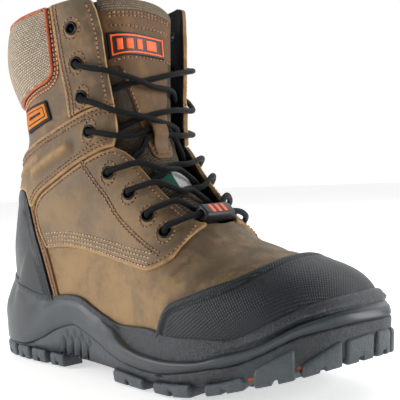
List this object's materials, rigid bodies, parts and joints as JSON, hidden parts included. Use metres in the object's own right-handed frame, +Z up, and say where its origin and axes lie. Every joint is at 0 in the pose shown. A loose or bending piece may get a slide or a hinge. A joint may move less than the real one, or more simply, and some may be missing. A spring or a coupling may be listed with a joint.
{
  "type": "work boot",
  "caption": "Lace-up leather work boot for the right foot with a hollow upper, padded collar, toe cap, heel counter, laced tongue and a lugged rubber sole.",
  "frame": {"origin": "bottom centre of the boot's bounding box, on the floor plane under the sole", "axes": "+X to the toe, +Y to the wearer's left, which is the inner side of this right boot, +Z up"},
  "size_m": [0.3094, 0.1146, 0.2375],
  "materials": {
    "upper": "oiled nubuck",
    "leather": "oiled nubuck",
    "guard": "fine textured",
    "sole": "satin",
    "tread": "matte",
    "mesh": "woven mesh",
    "patch": "woven",
    "lace": "braided",
    "metal": "dark satin",
    "lining": "brushed"
  },
  "bodies": {
    "root": {"ankle_band": "leather", "collar_pad": "mesh", "eyelet_lateral_1": "metal", "eyelet_lateral_2": "metal", "eyelet_lateral_3": "metal", "eyelet_lateral_4": "metal", "eyelet_lateral_5": "metal", "eyelet_lateral_6": "metal", "eyelet_lateral_7": "metal", "eyelet_lateral_8": "metal", "eyelet_medial_1": "metal", "eyelet_medial_2": "metal", "eyelet_medial_3": "metal", "eyelet_medial_4": "metal", "eyelet_medial_5": "metal", "eyelet_medial_6": "metal", "eyelet_medial_7": "metal", "eyelet_medial_8": "metal", "facing_lateral": "leather", "facing_medial": "leather", "heel_counter": "guard", "insole": "lining", "lace_bar_8": "lace", "lace_cross_2": "lace", "lace_cross_3": "lace", "lace_cross_4": "lace", "lace_cross_5": "lace", "lace_cross_6": "lace", "lace_cross_7": "lace", "lace_tag": "patch", "midsole": "sole", "outsole": "tread", "quarter_lateral": "leather", "quarter_medial": "leather", "side_tag": "patch", "toe_cap": "guard", "tongue": "leather", "tongue_keeper": "leather", "tongue_patch": "patch", "upper": "upper"}
  },
  "joints": []
}
